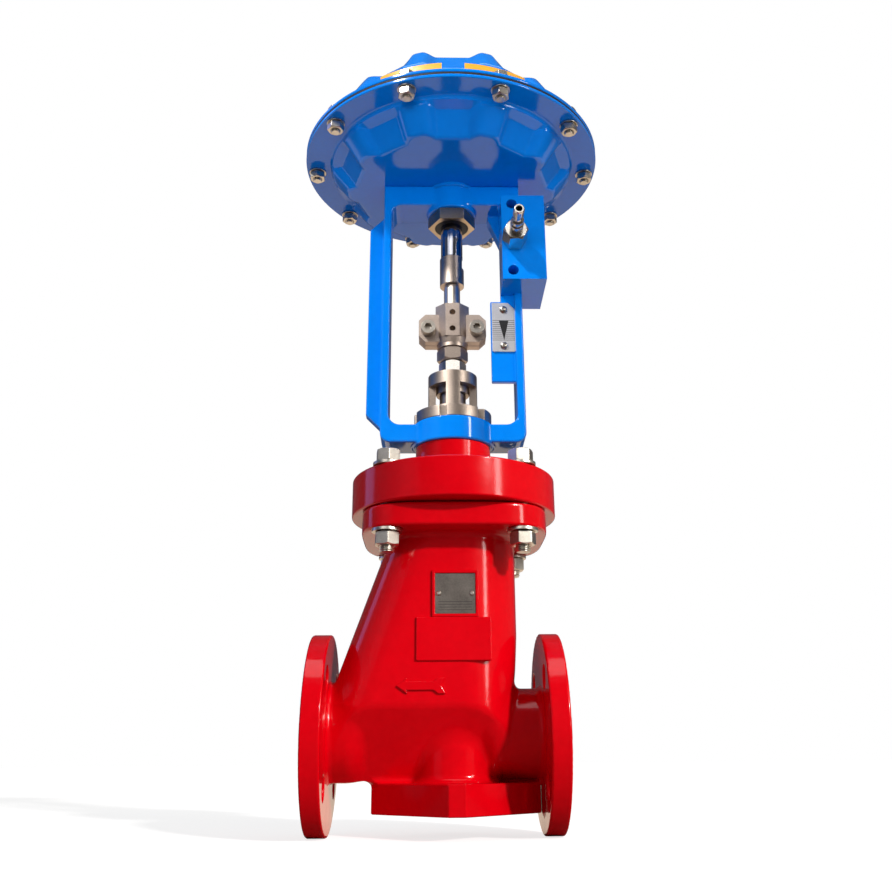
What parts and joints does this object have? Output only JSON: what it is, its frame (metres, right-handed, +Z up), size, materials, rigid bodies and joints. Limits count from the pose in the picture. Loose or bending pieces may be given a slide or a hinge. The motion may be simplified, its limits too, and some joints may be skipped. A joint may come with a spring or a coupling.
{
  "type": "globe control valve with diaphragm actuator",
  "caption": "Flanged globe control valve with a spring diaphragm actuator on an open yoke; its stem lifts the plug off the seat.",
  "frame": {"origin": "on the stem axis, at the level of the lowest points of the pipe flanges; centre of the bounding box's underside", "axes": "+Z up along the stem towards the actuator, X along the pipe with flow towards -X, -Y the front with the nameplate"},
  "size_m": [0.275, 0.275, 0.6616],
  "materials": {
    "body_paint": "gloss red enamel on cast steel",
    "yoke_paint": "gloss blue enamel",
    "trim_steel": "machined stainless steel",
    "bush_bronze": "turned bronze",
    "gasket": "graphite and steel strip",
    "stainless_fasteners": "bright stainless steel",
    "spring_steel": "coated spring wire",
    "packing": "white PTFE",
    "gland_steel": "turned stainless steel",
    "bright_steel": "bright turned steel",
    "coupling_steel": "bead blasted stainless steel",
    "polished_stem": "polished and ground",
    "bushing_steel": "turned steel",
    "seal": "black rubber",
    "dark_steel": "black oxide",
    "vent_plastic": "black plastic",
    "amber_label": "plain amber foil",
    "diaphragm_rubber": "fabric reinforced rubber",
    "scale_plate": "satin sheet",
    "nameplate": "brushed sheet"
  },
  "bodies": {
    "valve": {"valve_body": "body_paint", "bonnet": "body_paint", "seat_ring": "trim_steel", "guide_bush": "bush_bronze", "bonnet_gasket": "gasket", "bonnet_studs": "stainless_fasteners", "bonnet_nuts_lower": "stainless_fasteners", "bonnet_washers_lower": "stainless_fasteners", "bonnet_nuts_upper": "stainless_fasteners", "bonnet_washers_upper": "stainless_fasteners", "packing_spring": "spring_steel", "packing_washer": "trim_steel", "packing_rings": "packing", "gland_follower": "gland_steel", "gland_lock_ring": "gland_steel", "gland_lantern": "gland_steel", "gland_screw": "bright_steel", "yoke_ring_nut": "gland_steel", "yoke": "yoke_paint", "bushing_nut": "bushing_steel", "scraper_ring": "seal", "bushing_liner": "bush_bronze", "stem_o_rings": "seal", "lower_casing": "yoke_paint", "upper_casing": "yoke_paint", "casing_bolts": "stainless_fasteners", "casing_nuts": "stainless_fasteners", "casing_washers": "stainless_fasteners", "yoke_screws": "stainless_fasteners", "casing_plug": "dark_steel", "vent_plug": "vent_plastic", "casing_labels": "amber_label", "diaphragm": "diaphragm_rubber", "actuator_springs": "spring_steel", "air_block": "yoke_paint", "air_block_screws": "dark_steel", "connector_adapter": "bright_steel", "air_nipple": "bright_steel", "travel_scale": "scale_plate", "scale_screws": "stainless_fasteners", "nameplate": "nameplate", "nameplate_rivets": "stainless_fasteners"},
    "stem": {"plug": "trim_steel", "plug_stem": "trim_steel", "plug_pin": "trim_steel", "stem_lock_nut": "gland_steel", "coupling_front": "coupling_steel", "coupling_rear": "coupling_steel", "coupling_screws": "stainless_fasteners", "actuator_stem": "polished_stem", "stem_sleeve": "coupling_steel", "diaphragm_plate": "dark_steel", "diaphragm_washer": "dark_steel", "diaphragm_nut": "stainless_fasteners"}
  },
  "joints": [
    {"name": "stem_travel", "type": "slide", "parent": "valve", "child": "stem", "axis": [0, 0, 1], "range_m": [0, 0.02], "stiffness_N_per_m": 20000, "springref_m": -0.02, "deforming": ["actuator_springs", "diaphragm"]}
  ]
}
